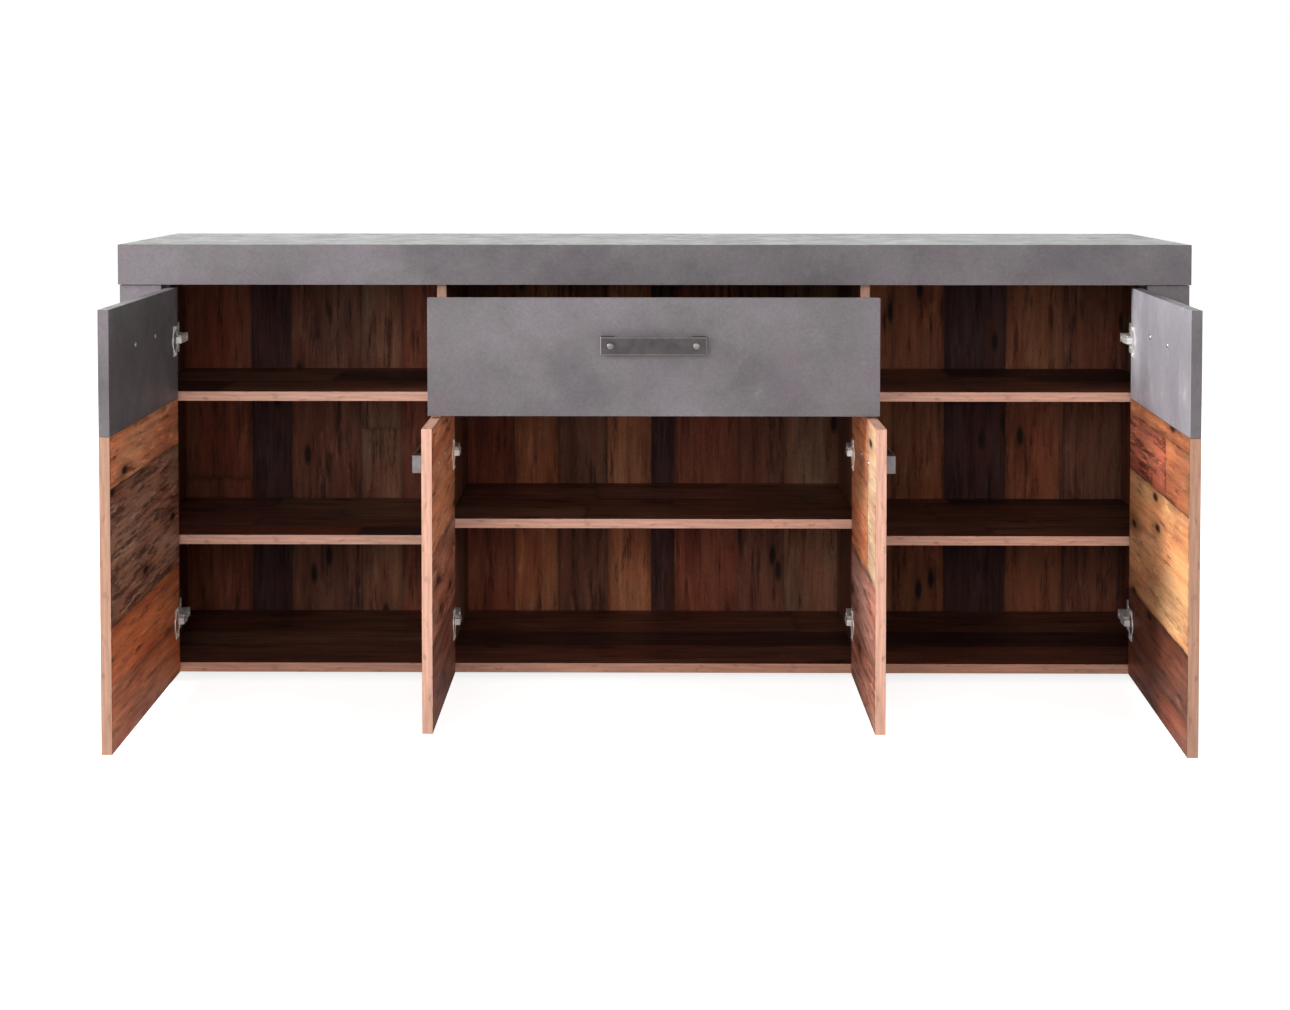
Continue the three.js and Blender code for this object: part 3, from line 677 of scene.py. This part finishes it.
def screw_nodes():
    """Geometry nodes that set a domed, cross-cut head on each point, facing its "facing"."""
    tree = bpy.data.node_groups.new("screw_heads", "GeometryNodeTree")
    for name, kind in (("Geometry", "Geometry"), ("Head Radius", "Float"), ("Head Height", "Float"),
                       ("Finish", "Material")):
        tree.interface.new_socket(name, in_out="INPUT", socket_type=f"NodeSocket{kind}")
    tree.interface.new_socket("Geometry", in_out="OUTPUT", socket_type="NodeSocketGeometry")
    given = add(tree, "NodeGroupInput")
    radius, height = given.outputs["Head Radius"], given.outputs["Head Height"]
    ball = add(tree, "GeometryNodeMeshUVSphere", {"Segments": 20, "Rings": 10, "Radius": radius})
    squeeze = add(tree, "ShaderNodeMath", {0: height, 1: radius}, operation="DIVIDE")
    flat = add(tree, "ShaderNodeCombineXYZ", {"X": 1.0, "Y": 1.0, "Z": squeeze})
    head = add(tree, "GeometryNodeTransform", {"Geometry": ball, "Scale": flat})
    long = add(tree, "ShaderNodeMath", {0: radius, 1: SLOT_LONG}, operation="MULTIPLY")
    wide = add(tree, "ShaderNodeMath", {0: radius, 1: SLOT_WIDE}, operation="MULTIPLY")
    deep = add(tree, "ShaderNodeMath", {0: height, 1: SLOT_DEEP}, operation="MULTIPLY")
    lift = add(tree, "ShaderNodeCombineXYZ", {"Z": height})
    for x, y in ((long, wide), (wide, long)):
        size = add(tree, "ShaderNodeCombineXYZ", {"X": x, "Y": y, "Z": deep})
        block = add(tree, "GeometryNodeMeshCube", {"Size": size})
        cutter = add(tree, "GeometryNodeTransform", {"Geometry": block, "Translation": lift})
        head = add(tree, "GeometryNodeMeshBoolean", {"Mesh 1": head, "Mesh 2": cutter},
                   operation="DIFFERENCE")
    facing = add(tree, "GeometryNodeInputNamedAttribute", {"Name": "facing"}, data_type="FLOAT_VECTOR")
    turn = add(tree, "FunctionNodeAlignRotationToVector", {"Vector": facing}, axis="Z")
    random_turn = add(tree, "FunctionNodeRandomValue", {3: math.pi, "Seed": 5}, data_type="FLOAT")
    about = add(tree, "ShaderNodeCombineXYZ", {"Z": random_turn.outputs[1]})
    spin = add(tree, "FunctionNodeEulerToRotation", {0: about})
    turned = add(tree, "FunctionNodeRotateRotation", {0: turn, 1: spin}, rotation_space="LOCAL")
    heads = add(tree, "GeometryNodeInstanceOnPoints", {"Points": given.outputs["Geometry"], "Instance": head,
                "Rotation": turned})
    real = add(tree, "GeometryNodeRealizeInstances", {"Geometry": heads})
    finish = add(tree, "GeometryNodeSetMaterial", {"Geometry": real, "Material": given.outputs["Finish"]})
    add(tree, "NodeGroupOutput", {"Geometry": finish})
    return tree


screw_tree = screw_nodes()


def add_screws(name, body, spots, head, material, place=None):
    """Screw heads on a body: spots are pairs of a point and the way it faces, head is the
    radius and height."""
    mesh = bpy.data.meshes.new(name)
    mesh.from_pydata([point for point, _ in spots], [], [])
    facing = mesh.attributes.new("facing", "FLOAT_VECTOR", "POINT")
    for item, (_, way) in zip(facing.data, spots):
        item.vector = way
    seedling = link_object(f"{name}_points", mesh)
    modifier = seedling.modifiers.new("heads", "NODES")
    modifier.node_group = screw_tree
    sockets = {item.name: item.identifier for item in screw_tree.interface.items_tree
               if item.in_out == "INPUT"}
    modifier[sockets["Head Radius"]], modifier[sockets["Head Height"]] = head
    modifier[sockets["Finish"]] = material
    result = bpy.data.meshes.new_from_object(seedling.evaluated_get(bpy.context.evaluated_depsgraph_get()))
    bpy.data.objects.remove(seedling)
    if place is not None:
        result.transform(place)
    for polygon in result.polygons:
        polygon.use_smooth = True
    result.set_sharp_from_angle(angle=math.radians(40))
    piece = link_object(name, result)
    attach(piece, body)


def plated_steel(name, colour, shine, streaks, metal):
    """Pressed or rolled steel under bright plating: pale, half gloss and faintly rubbed. streaks
    is how many rubbed marks there are in a metre along each axis."""
    made, tree, shader = new_material(name)
    at = add(tree, "ShaderNodeTexCoord").outputs["Object"]
    stretched = add(tree, "ShaderNodeMapping", {"Vector": at, "Scale": streaks})
    rub = add(tree, "ShaderNodeTexNoise", {"Vector": stretched, "Scale": 1.0, "Detail": 4})
    tint = add(tree, "ShaderNodeMapRange", {"Value": rub, "From Min": 0.3, "From Max": 0.7, "To Min": 0.86,
               "To Max": 1.08})
    shade = add(tree, "ShaderNodeVectorMath", {0: linear(colour)[:3], 1: tint}, operation="MULTIPLY")
    tree.links.new(shade.outputs[0], shader.inputs["Base Color"])
    shader.inputs["Metallic"].default_value = metal
    gloss = add(tree, "ShaderNodeMapRange", {"Value": rub, "To Min": shine - 0.08, "To Max": shine + 0.12})
    tree.links.new(gloss.outputs[0], shader.inputs["Roughness"])
    return made


# Rolled, so its marks of 2.5 mm are drawn out to 80 mm along the depth
zinc = plated_steel("zinc_plated_steel", "#c3c7cc", 0.36, (400, 12, 400), 1.0)


# --- Handles ---------------------------------------------------------------------------
# Die-cast bridge handles in aged pewter: a flat strap on two square feet, with a domed
# bolt head over each foot in a shallow ring. Screws from behind the board hold them.
HANDLE_STRAP = 3.5 * MM
HANDLE_FOOT = 24 * MM
HANDLE_EASED = 1.5 * MM
BOLT_INSET = 16 * MM
BOLT_RADIUS = 5.4 * MM
BOLT_HEIGHT = 2.2 * MM
BOLT_RIM = 0.5 * MM
BOLT_SUNK = 0.8 * MM
BOLT_CLEAR = 0.1 * MM  # short of the CAD handle's box
DOME_STEPS = 6
RING_GAP = 0.4 * MM
RING_WIDTH = 2.4 * MM
RING_SLOPE = 0.2 * MM
RING_SUNK = 0.3 * MM
HANDLE_HEAD = (4.2 * MM, 1.8 * MM)


def aged_pewter(name, dark, light):
    """Cast zinc with an antique wash, half matt: blotched over 17 mm and pitted over 2.4 mm."""
    made, tree, shader = new_material(name)
    at = add(tree, "ShaderNodeTexCoord").outputs["Object"]
    blotch = add(tree, "ShaderNodeTexNoise", {"Vector": at, "Scale": 60, "Detail": 6, "Roughness": 0.65})
    washed = add(tree, "ShaderNodeValToRGB", {"Fac": blotch}, stops=((0.30, dark), (0.75, light)))
    tree.links.new(washed.outputs[0], shader.inputs["Base Color"])
    shader.inputs["Metallic"].default_value = 0.85
    gloss = add(tree, "ShaderNodeMapRange", {"Value": blotch, "To Min": 0.34, "To Max": 0.58})
    tree.links.new(gloss.outputs[0], shader.inputs["Roughness"])
    pits = add(tree, "ShaderNodeTexNoise", {"Vector": at, "Scale": 420, "Detail": 3})
    bump = add(tree, "ShaderNodeBump", {"Height": pits, "Strength": 0.4, "Distance": 0.25 * MM})
    tree.links.new(bump.outputs[0], shader.inputs["Normal"])
    return made


pewter = aged_pewter("aged_pewter", "#433e3f", "#585354")
# Paler pewter for the bevels, the ends and the bolt domes: partly rubbed wear, partly painted highlight
rubbed_and_highlight_pewter = aged_pewter("rubbed_and_highlight_pewter", "#757070", "#989290")


def shut(body):
    """The move from where a body stands to where it is shut, from its joint. Doors and drawer
    are drawn shut, where they lie square to the cabinet, and then carried back open."""
    joint = next(j for j in frame["joints"] if j["child"] == body)
    axis = Vector(joint["axis"])
    if joint["type"] == "slide":
        return Matrix.Translation(axis * joint["range_m"][0])
    pivot = Matrix.Translation(Vector(joint["pos_m"]))
    return pivot @ Matrix.Rotation(math.radians(joint["range_deg"][0]), 4, axis) @ pivot.inverted()


def shut_box(node, move):
    """A CAD node's lowest and highest corners with its body shut."""
    spots = [move @ vert.co for vert in frame["nodes"][node].data.vertices]
    return [Vector(pick(spot[i] for spot in spots) for i in range(3)) for pick in (min, max)]


def lathe(bm, profile, place, steps=32):
    """Turns a profile of radius and height about Z and places it. A point on the axis is a pole,
    so the faces next to it are triangles."""
    rings = []
    for radius, height in profile:
        if radius < WELD:
            rings.append([bm.verts.new(place @ Vector((0, 0, height)))])
            continue
        turns = (2 * math.pi * k / steps for k in range(steps))
        rings.append([bm.verts.new(place @ Vector((radius * math.cos(t), radius * math.sin(t), height)))
                      for t in turns])
    for lower, upper in zip(rings, rings[1:]):
        for k in range(steps):
            a, b = lower[k % len(lower)], lower[(k + 1) % len(lower)]
            c, d = upper[(k + 1) % len(upper)], upper[k % len(upper)]
            corners = [a, b, c, d]
            bm.faces.new([v for n, v in enumerate(corners) if v not in corners[:n]])


def add_handle(name, node, body, board):
    """A bridge handle in the box of its CAD node, drawn on the closed front, and the screws on
    the rear face of its board."""
    move = shut(body)
    low, high = shut_box(node, move)
    middle = (low.z + high.z) / 2
    bolt_xs = (low.x + BOLT_INSET, high.x - BOLT_INSET)
    cap = low.y + BOLT_HEIGHT
    inner = cap + HANDLE_STRAP
    x0, x1 = low.x + HANDLE_FOOT, high.x - HANDLE_FOOT
    outline = [(low.x, high.y), (low.x, cap), (high.x, cap), (high.x, high.y), (x1, high.y), (x1, inner),
               (x0, inner), (x0, high.y)]
    bm = bmesh.new()
    face = bm.faces.new([bm.verts.new((x, y, low.z)) for x, y in outline])
    grown = bmesh.ops.extrude_face_region(bm, geom=[face])["geom"]
    for vert in [v for v in grown if isinstance(v, bmesh.types.BMVert)]:
        vert.co.z = high.z
    bm.normal_update()
    # The two ends, like the eased edges, are painted paler: partly rubbed wear, partly a painted highlight
    # where they catch the light
    for face in bm.faces:
        x = face.calc_center_median().x
        at_end = x < low.x + MM or x > high.x - MM
        face.material_index = int(at_end and abs(face.normal.x) > 0.5)
    strap = add_piece(name, body, bm, [pewter, rubbed_and_highlight_pewter], (node,), move.inverted())
    soften(strap, HANDLE_EASED)
    # The bevels take the paler pewter: partly rubbed wear, partly a painted highlight along the edges
    strap.modifiers["eased_edges"].material = 1

    dome = BOLT_HEIGHT - BOLT_RIM - BOLT_CLEAR
    bolt = [(0, -BOLT_SUNK), (BOLT_RADIUS, -BOLT_SUNK), (BOLT_RADIUS, BOLT_RIM)]
    for step in range(1, DOME_STEPS + 1):
        angle = step / DOME_STEPS * math.pi / 2
        bolt.append((BOLT_RADIUS * math.cos(angle), BOLT_RIM + dome * math.sin(angle)))
    near = BOLT_RADIUS + RING_GAP
    far = near + RING_WIDTH
    ring = [(near, -RING_SUNK), (far, -RING_SUNK), (far - RING_SLOPE, BOLT_RIM),
            (near + RING_SLOPE, BOLT_RIM), (near, -RING_SUNK)]
    forward = Matrix.Rotation(math.radians(90), 4, "X")
    bolts = bmesh.new()
    for x in bolt_xs:
        spot = Matrix.Translation((x, cap, middle)) @ forward
        lathe(bolts, bolt, spot)
        domes = len(bolts.faces)
        lathe(bolts, ring, spot)
        bolts.faces.ensure_lookup_table()
        for face in bolts.faces[domes:]:
            face.material_index = 1
    bmesh.ops.remove_doubles(bolts, verts=bolts.verts, dist=WELD)
    # The domes take the paler pewter as a painted highlight, partly rubbed wear; the rings take the plain
    # pewter
    heads = add_piece(f"{name}_bolts", body, bolts, [rubbed_and_highlight_pewter, pewter],
                      place=move.inverted())
    for polygon in heads.data.polygons:
        polygon.use_smooth = True
    heads.data.set_sharp_from_angle(angle=math.radians(35))

    rear = shut_box(board, move)[1].y
    spots = [((x, rear, middle), (0, 1, 0)) for x in bolt_xs]
    add_screws(f"{name}_screws", body, spots, HANDLE_HEAD, zinc, move.inverted())


# --- Doors -----------------------------------------------------------------------------
# Each outer door is a stone-grey board over a plank board, dowelled into one leaf. The
# inner doors are one plank board. Their planks lie level, the grain along the width.
WARM = ("amber", "russet", "umber", "chestnut", "drift", "plum")
# Inside faces, from the bottom row up: each row's height, then its planks' lengths and tones
OUTER_ROWS = {
    "left": ((88, ((457, "orange"),)), (97, ((457, "orange"),)), (200, ((457, "drift"),)),
             (77, ((457, "ember"),))),
    "right": ((50, ((457, "russet"),)), (98, ((457, "umber"),)), (198, ((457, "gold"),)),
              (92, ((170, "amber"), (287, "mottle"))), (24, ((457, "amber"),))),
}
INNER_ROWS = {
    "left": ((130, ((348, "plum"),)), (139, ((348, "clay"),)), (190, ((348, "ember"),))),
    "right": ((100, ((348, "clay"),)), (120, ((348, "mauve"),)), (239, ((110, "cream"), (238, "ember")))),
}
# The grey inside of the left leaf is painted darker, as painted shade, and that of the right leaf paler, as
# a painted reflection of the light; both stand for the same stone print
inner_stone_with_painted_light = {
    "left": stone_laminate("stone_print_melamine_painted_shade",
                           ("#595556", "#635f60", "#716b6e", "#5e585c", "#837d7e"), 0.5),
    "right": stone_laminate("stone_print_melamine_painted_reflection",
                            ("#8a858c", "#9a969c", "#b4b0b6", "#8f8b95", "#d2cfd4"), 0.42),
}


def in_metres(rows):
    """Rows written in millimetres, with their widths and lengths in metres."""
    return [(width * MM, [(length * MM, tone) for length, tone in pieces]) for width, pieces in rows]


def door_planks(name, node, body, rows, seed, band):
    """A plank board for a door: the given rows on the inside, planks at random outside."""
    move = shut(body)
    low, high = shut_box(node, move)
    size = high - low
    rng = random.Random(seed)
    inside = lay_out(rng, in_metres(rows))
    outside = lay_out(rng, random_planks(rng, size.x, size.z, WARM))
    plank_board(name, body, low, high, GRAIN_X, [outside, inside], [plank_print, band], (node,),
                move.inverted())


for number, side in enumerate(("left", "right")):
    outer, inner, upper = f"outer_door_{side}", f"inner_door_{side}", f"outer_door_upper_{side}"
    door_planks(f"{outer}_plank_board", f"outer_door_lower_{side}", outer, OUTER_ROWS[side], 61 + number,
                brown_band)
    door_planks(f"{inner}_plank_board", inner, inner, INNER_ROWS[side], 71 + number, salmon_band)
    move = shut(outer)
    bm = box_mesh(*shut_box(upper, move))
    bm.normal_update()
    # The inside face takes the stone with painted shade (left leaf) or painted reflection (right leaf)
    for face in bm.faces:
        face.material_index = int(face.normal.y > 0.5)
    upper_piece = add_piece(f"{outer}_stone_board", outer, bm, [stone, inner_stone_with_painted_light[side]],
                            (upper,), move.inverted())
    soften(upper_piece, EASED)
    add_handle(f"{outer}_handle", f"handle_outer_{side}", outer, upper)
    add_handle(f"{inner}_handle", f"handle_inner_{side}", inner, inner)


# --- Hinges ----------------------------------------------------------------------------
# Cup hinges of nickel-plated steel: a pressed cup let into the door under a screwed
# flange, and an arm on a plate screwed to the cabinet.
CUP_EASED = 0.25 * MM
FLANGE_SCREW = 21 * MM  # above and below the cup's middle
FLANGE_HEAD = (3.4 * MM, 1.3 * MM)
ARM_EASED = 0.5 * MM
PLATE_TOP = 2.7 * MM  # off the cabinet's wall
PLATE_BACK = 20 * MM  # in front of the arm's rear end
PLATE_SCREW = 16 * MM  # above and below the arm's middle
ARM_TOP = 15.6 * MM  # off the cabinet's wall
ARM_SCREWS = (10 * MM, 34 * MM)  # in front of the arm's rear end
ARM_HEAD = (3.0 * MM, 1.5 * MM)

# Pressed, so its rubbed marks of 6 mm have no direction
nickel = plated_steel("nickel_plated_steel", "#f3f0ea", 0.40, (160, 160, 160), 0.45)
for kind in ("outer", "inner"):
    for side, inward in (("left", 1), ("right", -1)):
        leaf = f"{kind}_door_{side}"
        move = shut(leaf)
        cup_spots, arm_spots = [], []
        for level in ("bottom", "top"):
            cup, arm = f"hinge_cup_{kind}_{level}_{side}", f"hinge_arm_{kind}_{level}_{side}"
            merged_copy(f"{cup}_shell", cup, leaf, nickel, CUP_EASED, 30)
            merged_copy(f"{arm}_bracket", arm, "carcass", nickel, ARM_EASED, 30)
            low, high = shut_box(cup, move)
            middle = (low + high) / 2
            cup_spots += [((middle.x, high.y, middle.z + dz), (0, 1, 0))
                          for dz in (-FLANGE_SCREW, FLANGE_SCREW)]
            low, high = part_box(arm)
            middle = (low + high) / 2
            wall = low.x if side == "left" else high.x
            plate_x, arm_x = wall + inward * PLATE_TOP, wall + inward * ARM_TOP
            plate_y = high.y - PLATE_BACK
            arm_spots += [((plate_x, plate_y, middle.z + dz), (inward, 0, 0))
                          for dz in (-PLATE_SCREW, PLATE_SCREW)]
            arm_spots += [((arm_x, high.y - back, middle.z), (inward, 0, 0)) for back in ARM_SCREWS]
        add_screws(f"{leaf}_flange_screws", leaf, cup_spots, FLANGE_HEAD, nickel,
                   move.inverted())
        add_screws(f"{leaf}_plate_screws", "carcass", arm_spots, ARM_HEAD, nickel)


# --- Drawer ----------------------------------------------------------------------------
# A stone-grey front on a plain brown box of 12 mm board with a thin base in grooves, on
# rolled steel runners.
DRAWER_EASED = 0.5 * MM
RUNNER_EASED = 0.3 * MM
drawer_foil = plain_foil("brown_drawer_foil", "#3d2a22", "#5a4033", scale=(5, 60, 60), shine=0.55)
move = shut("drawer")
bm = box_mesh(*shut_box("drawer_front", move))
front = add_piece("drawer_front_board", "drawer", bm, [stone], ("drawer_front",),
                  move.inverted())
soften(front, EASED)
add_handle("drawer_handle", "handle_drawer", "drawer", "drawer_front")
for node in ("drawer_side_left", "drawer_side_right", "drawer_back", "drawer_base"):
    merged_copy(f"{node}_board", node, "drawer", drawer_foil, DRAWER_EASED)
for side in ("left", "right"):
    rail, channel = f"drawer_runner_{side}", f"cabinet_runner_{side}"
    merged_copy(f"{rail}_rail", rail, "drawer", zinc, RUNNER_EASED)
    merged_copy(f"{channel}_channel", channel, "carcass", zinc, RUNNER_EASED)
